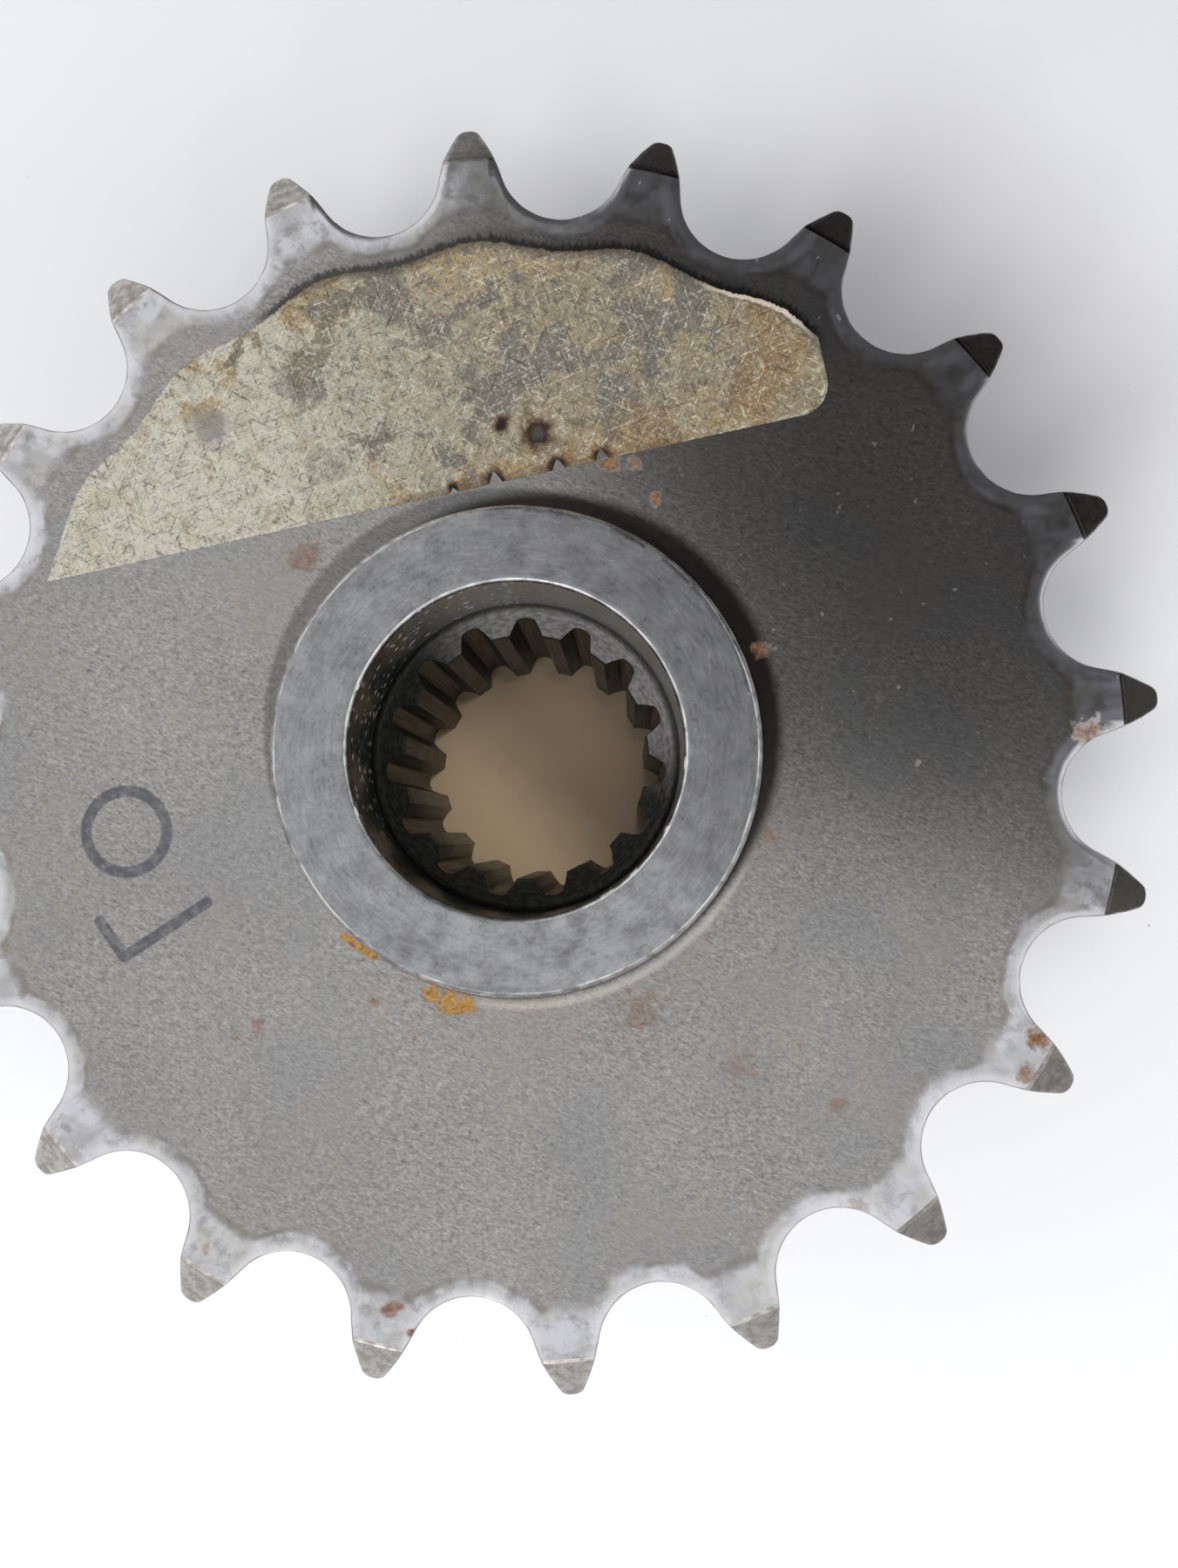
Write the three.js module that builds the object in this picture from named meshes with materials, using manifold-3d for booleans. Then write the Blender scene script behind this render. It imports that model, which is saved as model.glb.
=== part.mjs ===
// Welded simplex sprocket for 38.1 mm pitch roller chain: a 20-tooth disc on a long hub with a splined bore.
// Millimetres, +Z up along the bore axis. The origin is on the axis, in the plane of the hub's rear end face,
// so the part stands on its long rear barrel with the short front boss on top. One tooth points along +X.
import * as THREE from "three";
import { mergeVertices } from "three/addons/utils/BufferGeometryUtils.js";
import Module from "manifold-3d";

const wasm = await Module();
wasm.setup();

const degrees = Math.PI / 180;

// Chain and teeth, in the terms of the roller chain standard.
const chainPitch = 38.1;
const rollerDiameter = 25.4;
const toothCount = 20;
const pitchRadius = chainPitch / 2 / Math.sin(Math.PI / toothCount);
const seatRadius = 0.505 * rollerDiameter;
const seatAngle = 133 * degrees; // the whole angle over which the roller seat is one arc
const flankRadius = 70;
const tipRadius = 130.25;
const tipCornerRadius = 2.3;

// Toothed disc.
const plateThickness = 24.1;
const tipChamferStart = pitchRadius; // the cone on both faces of each tooth starts here
const tipChamferDepth = 5.7; // how far the cone has fallen at the tip
const plateFrontZ = 93.6;
const plateRearZ = plateFrontZ - plateThickness;

// Hub.
const hubLength = 100;
const bossRadius = 48.8;
const bossChamfer = 1;
const barrelRadius = 52;
const barrelChamfer = 2.5;
const counterboreRadius = 33.35;
const counterboreDepth = 30;
const counterboreFloorRadius = 2; // the round between the counterbore's wall and its floor
const counterboreChamfer = 0.6;
const shoulderZ = hubLength - counterboreDepth;

// Splined bore: involute teeth with a rounded root.
const splineTeeth = 15;
const splineModule = 3.75;
const splinePressureAngle = 30 * degrees;
const splineMinorRadius = 26.25;
const splineMajorRadius = 30.4;
const splineLandPhase = 1.1 * degrees; // from the tooth on +X to the middle of the nearest spline tooth
const splineChamfer = 0.4;

// Rear fillet weld between the disc and the barrel.
const weldLeg = 8;
const weldCrown = 0.9; // how far the bead's face bulges past the straight line between its toes

// Remnant of a stuck-on paper label: a segment of a disc, cut off straight towards the boss.
const labelThickness = 0.25;
const labelRadius = 103.7;
const labelScallop = 1.1; // the rim swings out towards each tooth and in towards each gap by this much
const labelChordDistance = 54.2; // from the axis to the straight edge
const labelChordAngle = 7.3 * degrees; // of the straight edge to the X axis
const labelEndDistance = 77; // along the straight edge, from the foot of the axis to the cut end
const labelEndRound = 6.5;

// Neighbours that touch on the real part keep these clearances.
const fitGap = 0.1;
const labelGap = 0.05;

const turnSegments = 96; // segments round a turned surface
const tipConeSegments = toothCount * 8;
const cutMargin = 4; // how far a cutting solid runs past what it cuts

// ---- Helpers -------------------------------------------------------------------------------------

function solid(geometry) {
  const bare = geometry.clone();
  bare.deleteAttribute("normal");
  bare.deleteAttribute("uv");
  const merged = mergeVertices(bare, 1e-4);
  return new wasm.Manifold(
    new wasm.Mesh({
      numProp: 3,
      vertProperties: merged.attributes.position.array,
      triVerts: new Uint32Array(merged.index.array),
    }),
  );
}

function geometryOf(manifold) {
  const made = manifold.getMesh();
  const positions = new Float32Array(made.numVert * 3);
  for (let i = 0; i < made.numVert; i++) {
    positions.set(made.vertProperties.subarray(i * made.numProp, i * made.numProp + 3), i * 3);
  }
  const geometry = new THREE.BufferGeometry();
  geometry.setAttribute("position", new THREE.BufferAttribute(positions, 3));
  geometry.setIndex(new THREE.BufferAttribute(made.triVerts, 1));
  return geometry;
}

// A turned geometry about +Z. The profile is a list of [radius, z], going up the outside.
function turned(profile, segments = turnSegments) {
  const points = profile.map(([radius, z]) => new THREE.Vector2(radius, z));
  return new THREE.LatheGeometry(points, segments).rotateX(Math.PI / 2);
}

// A straight extrusion of an outline in the XY plane, from zLow to zHigh.
function extruded(outline, zLow, zHigh) {
  const depth = zHigh - zLow;
  const shape = new THREE.Shape(outline);
  return new THREE.ExtrudeGeometry(shape, { depth, bevelEnabled: false }).translate(0, 0, zLow);
}

function polar(radius, angle) {
  return new THREE.Vector2(radius * Math.cos(angle), radius * Math.sin(angle));
}

// Points on an arc, both ends included.
function arc(centre, radius, from, to, steps) {
  const points = [];
  for (let i = 0; i <= steps; i++) {
    points.push(polar(radius, from + ((to - from) * i) / steps).add(centre));
  }
  return points;
}

// A half outline that starts on the X axis, mirrored in it and repeated round the circle.
function repeatedRound(halfOutline, count, phase) {
  const mirrored = halfOutline.slice(1).map((p) => new THREE.Vector2(p.x, -p.y)).reverse();
  const sector = [...mirrored, ...halfOutline.slice(0, -1)];
  const centre = new THREE.Vector2();
  const points = [];
  for (let i = 0; i < count; i++) {
    const turn = phase + (i * 2 * Math.PI) / count;
    points.push(...sector.map((p) => p.clone().rotateAround(centre, turn)));
  }
  return points;
}

// ---- Toothed disc --------------------------------------------------------------------------------

// Half of one tooth gap, from the bottom of the roller seat to the middle of the next tooth's tip.
function halfToothGap() {
  const seatCentre = new THREE.Vector2(pitchRadius, 0);
  const seatEnd = Math.PI - seatAngle / 2;
  const flankCentre = polar(seatRadius + flankRadius, seatEnd).add(seatCentre);

  // The corner arc lies inside both the flank's circle and the tip circle.
  const toFlank = flankRadius - tipCornerRadius;
  const toAxis = tipRadius - tipCornerRadius;
  const apart = flankCentre.length();
  const along = (toAxis ** 2 - toFlank ** 2 + apart ** 2) / (2 * apart);
  const aside = Math.sqrt(toAxis ** 2 - along ** 2);
  const corner = new THREE.Vector2(along, -aside).rotateAround(new THREE.Vector2(), flankCentre.angle());

  const flankStart = seatEnd - Math.PI;
  const flankEnd = corner.clone().sub(flankCentre).angle() - 2 * Math.PI;
  const cornerEnd = corner.angle();
  const halfPitchAngle = Math.PI / toothCount;
  return [
    ...arc(seatCentre, seatRadius, Math.PI, seatEnd, 8),
    ...arc(flankCentre, flankRadius, flankStart, flankEnd, 6).slice(1),
    ...arc(corner, tipCornerRadius, flankEnd, cornerEnd, 4).slice(1),
    polar(tipRadius, halfPitchAngle),
  ];
}

function toothedPlate() {
  const outline = repeatedRound(halfToothGap(), toothCount, Math.PI / toothCount);
  const blank = solid(extruded(outline, plateRearZ, plateFrontZ));

  // Cones on both faces relieve the tips. The turned envelope runs past the tips at the same slope.
  const slope = tipChamferDepth / (tipRadius - tipChamferStart);
  const envelopeRadius = tipRadius + cutMargin;
  const envelopeFall = slope * (envelopeRadius - tipChamferStart);
  const envelope = solid(
    turned(
      [
        [0, plateRearZ],
        [tipChamferStart, plateRearZ],
        [envelopeRadius, plateRearZ + envelopeFall],
        [envelopeRadius, plateFrontZ - envelopeFall],
        [tipChamferStart, plateFrontZ],
        [0, plateFrontZ],
      ],
      tipConeSegments,
    ),
  );
  const hole = solid(
    turned([
      [0, plateRearZ - cutMargin],
      [bossRadius + fitGap, plateRearZ - cutMargin],
      [bossRadius + fitGap, plateFrontZ + cutMargin],
      [0, plateFrontZ + cutMargin],
    ]),
  );
  return geometryOf(blank.intersect(envelope).subtract(hole));
}

// ---- Hub -----------------------------------------------------------------------------------------

function involute(angle) {
  return Math.tan(angle) - angle;
}

// Half of one groove of the internal spline, from the middle of the root to the middle of the land.
function halfSplineGroove() {
  const splinePitchRadius = (splineModule * splineTeeth) / 2;
  const baseRadius = splinePitchRadius * Math.cos(splinePressureAngle);
  const quarterPitch = Math.PI / 2 / splineTeeth;
  const halfWidthAt = (radius) =>
    quarterPitch + involute(splinePressureAngle) - involute(Math.acos(baseRadius / radius));

  // The root is a round bottom: the flank stops short of it and a half ellipse closes the groove.
  const rootRise = 0.9;
  const flankTop = splineMajorRadius - rootRise;
  const rootHalfWidth = halfWidthAt(flankTop);
  const root = [];
  const rootSteps = 3;
  for (let i = 0; i < rootSteps; i++) {
    const t = (i / rootSteps) * (Math.PI / 2);
    root.push(polar(flankTop + rootRise * Math.cos(t), rootHalfWidth * Math.sin(t)));
  }
  const flank = [];
  const flankSteps = 4;
  for (let i = 0; i <= flankSteps; i++) {
    const radius = flankTop + ((splineMinorRadius - flankTop) * i) / flankSteps;
    flank.push(polar(radius, halfWidthAt(radius)));
  }
  return [...root, ...flank, polar(splineMinorRadius, Math.PI / splineTeeth)];
}

function splinedHub() {
  const body = solid(
    turned([
      [0, 0],
      [barrelRadius - barrelChamfer, 0],
      [barrelRadius, barrelChamfer],
      [barrelRadius, plateRearZ - fitGap],
      [bossRadius, plateRearZ - fitGap],
      [bossRadius, hubLength - bossChamfer],
      [bossRadius - bossChamfer, hubLength],
      [0, hubLength],
    ]),
  );

  const floorCentre = new THREE.Vector2(
    counterboreRadius - counterboreFloorRadius,
    shoulderZ + counterboreFloorRadius,
  );
  const floorRound = arc(floorCentre, counterboreFloorRadius, -Math.PI / 2, 0, 4);
  const counterbore = solid(
    turned([
      [0, shoulderZ],
      ...floorRound.map((p) => [p.x, p.y]),
      [counterboreRadius, hubLength - counterboreChamfer],
      [counterboreRadius + counterboreChamfer + cutMargin, hubLength + cutMargin],
      [0, hubLength + cutMargin],
    ]),
  );

  const groovePhase = splineLandPhase + Math.PI / splineTeeth;
  const grooves = repeatedRound(halfSplineGroove(), splineTeeth, groovePhase);
  const spline = solid(extruded(grooves, -cutMargin, shoulderZ + cutMargin));

  // Lead-in cones at both ends of the spline.
  const leadRadius = splineMinorRadius + splineChamfer;
  const rearLead = solid(
    turned([
      [0, -cutMargin],
      [leadRadius + cutMargin, -cutMargin],
      [splineMinorRadius - cutMargin, splineChamfer + cutMargin],
      [0, splineChamfer + cutMargin],
    ]),
  );
  const frontLead = solid(
    turned([
      [0, shoulderZ - splineChamfer - cutMargin],
      [splineMinorRadius - cutMargin, shoulderZ - splineChamfer - cutMargin],
      [leadRadius + cutMargin, shoulderZ + cutMargin],
      [0, shoulderZ + cutMargin],
    ]),
  );
  // The front cone's own overshoot stays inside the counterbore, which is cut as well.
  const cutters = [counterbore, spline, rearLead, frontLead];
  return geometryOf(cutters.reduce((left, cutter) => left.subtract(cutter), body));
}

// ---- Weld bead -----------------------------------------------------------------------------------

function weldBead() {
  const inner = barrelRadius + fitGap;
  const top = plateRearZ - fitGap;
  const crown = weldLeg / 2 + weldCrown / Math.SQRT2;
  return turned([
    [inner, top],
    [inner, top - weldLeg],
    [inner + crown, top - crown],
    [inner + weldLeg, top],
    [inner, top],
  ]);
}

// ---- Paper label ---------------------------------------------------------------------------------

function paperLabel() {
  // Drawn with the straight edge parallel to X, then turned to its real slope.
  const chordY = labelChordDistance;
  const farEnd = Math.PI - Math.asin(chordY / labelRadius);
  const nearEnd = Math.acos(labelEndDistance / labelRadius);
  const rimSteps = 40;
  const rim = [];
  for (let i = 0; i <= rimSteps; i++) {
    const angle = nearEnd + ((farEnd - nearEnd) * i) / rimSteps;
    const swing = labelScallop * Math.cos(toothCount * (angle + labelChordAngle));
    rim.push(polar(labelRadius + swing, angle));
  }
  const roundCentre = new THREE.Vector2(labelEndDistance - labelEndRound, chordY + labelEndRound);
  const cutEnd = arc(roundCentre, labelEndRound, -Math.PI / 2, 0, 6);
  const outline = [...cutEnd, ...rim].map((p) => p.rotateAround(new THREE.Vector2(), labelChordAngle));
  const low = plateFrontZ + labelGap;
  return extruded(outline, low, low + labelThickness);
}

// ---- Assembly ------------------------------------------------------------------------------------

const finishes = {
  plateSteel: { color: 0x85847f, roughness: 0.5, metalness: 0.9 },
  hubSteel: { color: 0x8d8f97, roughness: 0.35, metalness: 1 },
  weldSteel: { color: 0x6a6862, roughness: 0.45, metalness: 0.9 },
  paper: { color: 0xa99c7c, roughness: 0.95, metalness: 0 },
};

const sprocket = new THREE.Group();

function addPiece(name, geometry, finish) {
  const mesh = new THREE.Mesh(geometry, new THREE.MeshStandardMaterial(finishes[finish]));
  mesh.name = name;
  sprocket.add(mesh);
}

addPiece("toothed_plate", toothedPlate(), "plateSteel");
addPiece("splined_hub", splinedHub(), "hubSteel");
addPiece("weld_bead", weldBead(), "weldSteel");
addPiece("paper_label", paperLabel(), "paper");

export default sprocket;
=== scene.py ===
"""A 20-tooth sprocket for 38.1 mm roller chain, standing on its splined hub and seen from straight above.

Shapes are worked out in millimetres in the part's own frame, and each mesh is turned to metres when it is made.
"""

from functools import reduce
from math import acos, atan2, cos, hypot, pi, sin, sqrt, tan

import bmesh
import bpy
from mathutils import Euler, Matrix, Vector, noise


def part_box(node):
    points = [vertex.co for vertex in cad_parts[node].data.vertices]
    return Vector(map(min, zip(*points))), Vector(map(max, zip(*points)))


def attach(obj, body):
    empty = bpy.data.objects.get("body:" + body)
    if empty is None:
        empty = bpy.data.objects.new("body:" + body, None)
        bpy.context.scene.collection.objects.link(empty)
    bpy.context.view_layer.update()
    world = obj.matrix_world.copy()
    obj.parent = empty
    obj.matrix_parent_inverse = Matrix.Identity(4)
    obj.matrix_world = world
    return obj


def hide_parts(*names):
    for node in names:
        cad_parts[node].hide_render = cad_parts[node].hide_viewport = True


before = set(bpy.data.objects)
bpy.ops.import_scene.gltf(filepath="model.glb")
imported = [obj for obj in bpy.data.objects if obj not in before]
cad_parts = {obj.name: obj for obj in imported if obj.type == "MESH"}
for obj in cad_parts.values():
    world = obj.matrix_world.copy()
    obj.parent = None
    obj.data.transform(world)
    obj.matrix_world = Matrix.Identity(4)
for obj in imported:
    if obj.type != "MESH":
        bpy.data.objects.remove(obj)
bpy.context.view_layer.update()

MM = 0.001
DEG = pi / 180


def box_mm(node):
    low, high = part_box(node)
    return low / MM, high / MM


plate_low, plate_high = box_mm("toothed_plate")
hub_low, hub_high = box_mm("splined_hub")
_, weld_high = box_mm("weld_bead")
label_low, label_high = box_mm("paper_label")

# Teeth. The tip circle and the faces come from the frame.
TOOTH_COUNT = 20
CHAIN_PITCH = 38.1
PITCH_RADIUS = CHAIN_PITCH / 2 / sin(pi / TOOTH_COUNT)
SEAT_RADIUS = 0.505 * 25.4
SEAT_ANGLE = 133 * DEG
FLANK_RADIUS = 70.0
TIP_CORNER = 2.3
TIP_RADIUS = plate_high.x
TIP_FALL = 5.7
PLATE_FRONT = plate_high.z
PLATE_REAR = plate_low.z

# Hub.
HUB_END = hub_low.z
HUB_FRONT = hub_high.z
BARREL_RADIUS = hub_high.x
BARREL_CHAMFER = 2.5
BOSS_RADIUS = 48.8
BOSS_CHAMFER = 1.0
COUNTERBORE_RADIUS = 33.35
COUNTERBORE_CHAMFER = 0.6
FLOOR_ROUND = 2.0
SHOULDER = HUB_FRONT - 30.0
FIT_GAP = 0.1

# Spline.
SPLINE_TEETH = 15
SPLINE_MODULE = 3.75
PRESSURE_ANGLE = 30 * DEG
SPLINE_MINOR = 26.25
SPLINE_MAJOR = 30.4
SPLINE_PHASE = 1.1 * DEG
SPLINE_CHAMFER = 0.4

# Label.
LABEL_RADIUS = 103.7
LABEL_SCALLOP = 1.1
LABEL_CHORD = 54.2
LABEL_SLOPE = 7.3 * DEG
LABEL_END = 77.0
LABEL_ROUND = 6.5
LABEL_TRIM = 0.3


# ---- Mesh helpers ----


def steps(start, end, count):
    """count + 1 values from start to end."""
    return [start + (end - start) * i / count for i in range(count + 1)]


def polar(radius, angle, z=0.0):
    return Vector((radius * cos(angle), radius * sin(angle), z))


def new_object(name, data):
    made = bpy.data.objects.new(name, data)
    bpy.context.scene.collection.objects.link(made)
    return made


class Surface:
    """Gathers grids of points into one mesh and welds them where their edges meet."""

    WELD = 0.002

    def __init__(self):
        self.points = []
        self.faces = []
        self.slots = []

    def grid(self, rows, slot=0, closed=False):
        """A sheet of quads through rows of equal length. A closed grid joins its last column to its first."""
        base = len(self.points)
        width = len(rows[0])
        for row in rows:
            self.points.extend(row)
        columns = width if closed else width - 1
        for r in range(len(rows) - 1):
            for c in range(columns):
                a = base + r * width + c
                b = base + r * width + (c + 1) % width
                self.faces.append((a, b, b + width, a + width))
                self.slots.append(slot)

    def build(self, name, materials, sharp_angle=32 * DEG):
        mesh = bpy.data.meshes.new(name)
        mesh.from_pydata([p * MM for p in self.points], [], self.faces)
        for material in materials:
            mesh.materials.append(material)
        mesh.polygons.foreach_set("material_index", self.slots)
        work = bmesh.new()
        work.from_mesh(mesh)
        bmesh.ops.remove_doubles(work, verts=work.verts, dist=self.WELD * MM)
        bmesh.ops.recalc_face_normals(work, faces=work.faces)
        for face in work.faces:
            face.smooth = True
        for edge in work.edges:
            edge.smooth = len(edge.link_faces) == 2 and edge.calc_face_angle() < sharp_angle
        work.to_mesh(mesh)
        work.free()
        return new_object(name, mesh)


# ---- Material helpers ----


class Paint:
    """One procedural material. Places are in millimetres in the part's frame, so sizes read as real sizes."""

    def __init__(self, name, **shader_values):
        self.material = bpy.data.materials.new(name)
        self.material.use_nodes = True
        self.tree = self.material.node_tree
        self.tree.nodes.clear()
        output = self.node("OutputMaterial")
        self.shader = self.node("BsdfPrincipled")
        self.tree.links.new(self.shader.outputs["BSDF"], output.inputs["Surface"])
        for key, value in shader_values.items():
            self.shader.inputs[key.replace("_", " ")].default_value = value
        coordinates = self.node("TexCoord")
        self.place = self.vector("SCALE", coordinates.outputs["Object"], scale=1 / MM)
        split = self.node("SeparateXYZ")
        self.feed(split.inputs[0], self.place)
        self.x, self.y, self.z = split.outputs
        self.flat = self.combine(self.x, self.y, 0.0)
        self.radius = self.vector("LENGTH", self.flat, output="Value")
        self.angle = self.math("ARCTAN2", self.y, self.x)

    def node(self, kind):
        return self.tree.nodes.new("ShaderNode" + kind)

    def feed(self, socket, value):
        if isinstance(value, bpy.types.NodeSocket):
            self.tree.links.new(value, socket)
        elif isinstance(value, (tuple, list)) and len(socket.default_value) == 4:
            socket.default_value = (*value[:3], 1.0)
        else:
            socket.default_value = value

    def set(self, name, value):
        self.feed(self.shader.inputs[name], value)

    def finish(self, colour, rough, normal):
        self.set("Base Color", colour)
        self.set("Roughness", rough)
        self.set("Normal", normal)
        return self.material

    def math(self, operation, a, b=0.0, c=0.0):
        node = self.node("Math")
        node.operation = operation
        for socket, value in zip(node.inputs, (a, b, c)):
            self.feed(socket, value)
        return node.outputs[0]

    def add(self, *values):
        return reduce(lambda a, b: self.math("ADD", a, b), values)

    def times(self, *values):
        return reduce(lambda a, b: self.math("MULTIPLY", a, b), values)

    def most(self, *values):
        return reduce(lambda a, b: self.math("MAXIMUM", a, b), values)

    def vector(self, operation, a, b=(0.0, 0.0, 0.0), scale=1.0, output="Vector"):
        node = self.node("VectorMath")
        node.operation = operation
        self.feed(node.inputs[0], a)
        self.feed(node.inputs[1], b)
        node.inputs[3].default_value = scale
        return node.outputs[output]

    def combine(self, x, y, z):
        node = self.node("CombineXYZ")
        for socket, value in zip(node.inputs, (x, y, z)):
            self.feed(socket, value)
        return node.outputs[0]

    def noise(self, size, detail=2.0, roughness=0.5, place=None, distortion=0.0):
        """Noise whose blobs are about size millimetres across."""
        node = self.node("TexNoise")
        self.feed(node.inputs["Vector"], self.place if place is None else place)
        node.inputs["Scale"].default_value = 1 / size
        node.inputs["Detail"].default_value = detail
        node.inputs["Roughness"].default_value = roughness
        node.inputs["Distortion"].default_value = distortion
        return node.outputs["Fac"]

    def blotches(self, size, start, end, high=1.0, detail=4, roughness=0.5):
        """Noise faded into blotches of about that size: high inside them and 0 between."""
        return self.fade(self.noise(size, detail=detail, roughness=roughness), start, end, high=high)

    def along(self, angle, stretch):
        """A place drawn out along that direction in the plane, for streaks and fibres."""
        c, s = cos(angle) / stretch, sin(angle) / stretch
        run = self.add(self.times(self.x, c), self.times(self.y, s))
        cross = self.math("SUBTRACT", self.times(self.y, c * stretch), self.times(self.x, s * stretch))
        return self.combine(run, cross, 0.0)

    def cells(self, size, place):
        """How far the middle of the nearest cell of that size is, and the cell's random colour."""
        node = self.node("TexVoronoi")
        self.feed(node.inputs["Vector"], place)
        node.inputs["Scale"].default_value = 1 / size
        return node.outputs["Distance"], node.outputs["Color"]

    def specks(self, size, radius, share):
        """Round specks up to that radius, one to a cell of that size, in only this share of the cells."""
        away, random_colour = self.cells(size, self.place)
        pick = self.node("SeparateXYZ")
        self.feed(pick.inputs[0], random_colour)
        chosen = self.math("LESS_THAN", pick.outputs[0], share)
        reach = self.times(pick.outputs[1], radius / size)
        return self.times(chosen, self.fade(away, reach, self.times(reach, 0.5)))

    def threads(self, size, width, place):
        """Curved hair lines: the places where a noise crosses its middle."""
        waves = self.noise(size, detail=1, place=place, distortion=0.7)
        return self.fade(self.math("ABSOLUTE", self.math("SUBTRACT", waves, 0.5)), width, 0.0)

    def swing(self, value, amount):
        """A value about a half, made to swing about zero by that amount."""
        return self.times(self.math("SUBTRACT", value, 0.5), amount)

    def facing(self, bearing, start, end, high=1.0):
        """high on the side at that bearing in degrees. start and end are cosines of the angle from it."""
        off = self.math("SUBTRACT", self.angle, bearing * DEG)
        return self.fade(self.math("COSINE", off), start, end, high=high)

    def fade(self, value, start, end, low=0.0, high=1.0):
        """low before start, high after end, and a smooth change between. end may be below start."""
        node = self.node("MapRange")
        node.interpolation_type = "SMOOTHSTEP"
        for socket, given in zip(node.inputs, (value, start, end, low, high)):
            self.feed(socket, given)
        return node.outputs[0]

    def mix(self, share, a, b):
        node = self.node("Mix")
        node.data_type = "RGBA"
        for socket, value in ((node.inputs[0], share), (node.inputs[6], a), (node.inputs[7], b)):
            self.feed(socket, value)
        return node.outputs[2]

    def layers(self, colour, *coats):
        """Lays coats over a colour in turn. Each coat is how much of it shows and its own colour."""
        for share, coat in coats:
            colour = self.mix(share, colour, coat)
        return colour

    def blend(self, share, a, b):
        """A number that goes from a to b as share goes from 0 to 1."""
        node = self.node("Mix")
        for socket, value in ((node.inputs[0], share), (node.inputs[2], a), (node.inputs[3], b)):
            self.feed(socket, value)
        return node.outputs[0]

    def bump(self, height, depth, strength):
        """Relief of a height from 0 to 1, depth millimetres deep."""
        node = self.node("Bump")
        node.inputs["Strength"].default_value = strength
        node.inputs["Distance"].default_value = depth * MM
        self.feed(node.inputs["Height"], height)
        return node.outputs[0]

    def away_from(self, place):
        return self.vector("DISTANCE", self.flat, place, output="Value")

    def spot(self, place, size, ragged):
        """1 in a ragged spot of that radius about a place, and 0 outside it."""
        away = self.add(self.away_from(place), self.times(ragged, size))
        return self.fade(away, size * 1.35, size * 0.5)

    def band(self, value, low, high, soft):
        """1 where value lies between low and high, with soft ends."""
        return self.times(self.fade(value, low - soft, low + soft), self.fade(value, high + soft, high - soft))

    def sector(self, start, end, soft):
        """1 between two bearings in degrees, with soft ends."""
        return self.band(self.angle, start * DEG, end * DEG, soft * DEG)

    def stroke(self, start, end, width):
        """1 along a straight stroke of that width between two places."""
        start, end = Vector((*start, 0)), Vector((*end, 0))
        along = (end - start).normalized()
        from_start = self.vector("SUBTRACT", self.flat, start)
        reach = self.vector("DOT_PRODUCT", from_start, along, output="Value")
        reach = self.math("MINIMUM", self.math("MAXIMUM", reach, 0.0), (end - start).length)
        nearest = self.vector("ADD", start, self.vector("MULTIPLY", along, self.combine(reach, reach, reach)))
        return self.fade(self.away_from(nearest), width * 0.6, width * 0.4)

    def past_label_rim(self):
        """How far outside the label's scalloped rim."""
        scallop = self.times(self.math("COSINE", self.times(self.angle, float(TOOTH_COUNT))), LABEL_SCALLOP)
        return self.math("SUBTRACT", self.radius, self.add(scallop, LABEL_RADIUS - LABEL_TRIM))

    def from_root(self):
        """How far a point lies into the metal from the nearest roller seat."""
        half_pitch = pi / TOOTH_COUNT
        folded = self.math("WRAP", self.math("SUBTRACT", self.angle, half_pitch), half_pitch, -half_pitch)
        across = self.times(self.radius, self.math("SINE", folded))
        along = self.math("SUBTRACT", self.times(self.radius, self.math("COSINE", folded)), PITCH_RADIUS)
        from_centre = self.vector("LENGTH", self.combine(along, across, 0.0), output="Value")
        return self.math("SUBTRACT", from_centre, SEAT_RADIUS)


RUST_DARK = (0.10, 0.045, 0.02)
RUST_BRIGHT = (0.29, 0.125, 0.036)
AMBER_DARK = (0.22, 0.10, 0.02)
AMBER_BRIGHT = (0.46, 0.25, 0.05)
RUST_ROUGHNESS = 0.8


def rusty(paint, colour, rough, metal, normal, rust, amber=None):
    """Finishes a metal that has rust where rust is 1, and the yellow kind where amber is 1."""
    grain = paint.noise(1.1, detail=4, distortion=1.2)
    rust_colour = paint.mix(paint.fade(grain, 0.35, 0.65), RUST_DARK, RUST_BRIGHT)
    if amber is not None:
        yellow = paint.mix(paint.fade(grain, 0.3, 0.65), AMBER_DARK, AMBER_BRIGHT)
        rust_colour = paint.mix(amber, rust_colour, yellow)
    paint.set("Metallic", paint.blend(rust, metal, 0.0))
    return paint.finish(paint.mix(rust, colour, rust_colour), paint.blend(rust, rough, RUST_ROUGHNESS), normal)


# ---- Materials ----

# Rust on the front face: place, radius and strength of each patch.
RUST_PATCHES = [
    (-39.8, 43.0, 3.2, 0.5), (23.5, 56.5, 1.9, 0.9), (27.9, 56.0, 1.5, 0.8),
    (32.0, 48.5, 1.1, 0.9), (39.1, -66.5, 3.2, 0.35), (57.7, -75.4, 1.6, 0.5),
    (20.3, -53.5, 3.6, 0.4), (-56.8, -50.1, 1.4, 0.5), (-61.4, -52.3, 1.0, 0.4),
    (48.9, -21.4, 1.6, 0.6), (-32.8, -47.7, 1.0, 0.6), (50.6, 16.3, 1.8, 0.8),
]
# Yellow rust in the corner beside the boss.
AMBER_PATCHES = [
    (-21.0, -47.2, 2.0, 1.0), (-18.0, -48.7, 2.8, 1.0), (-14.8, -49.8, 2.5, 1.0),
]
AMBER_STREAK = ((-38.0, -34.0), (-32.2, -38.7))
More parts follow.
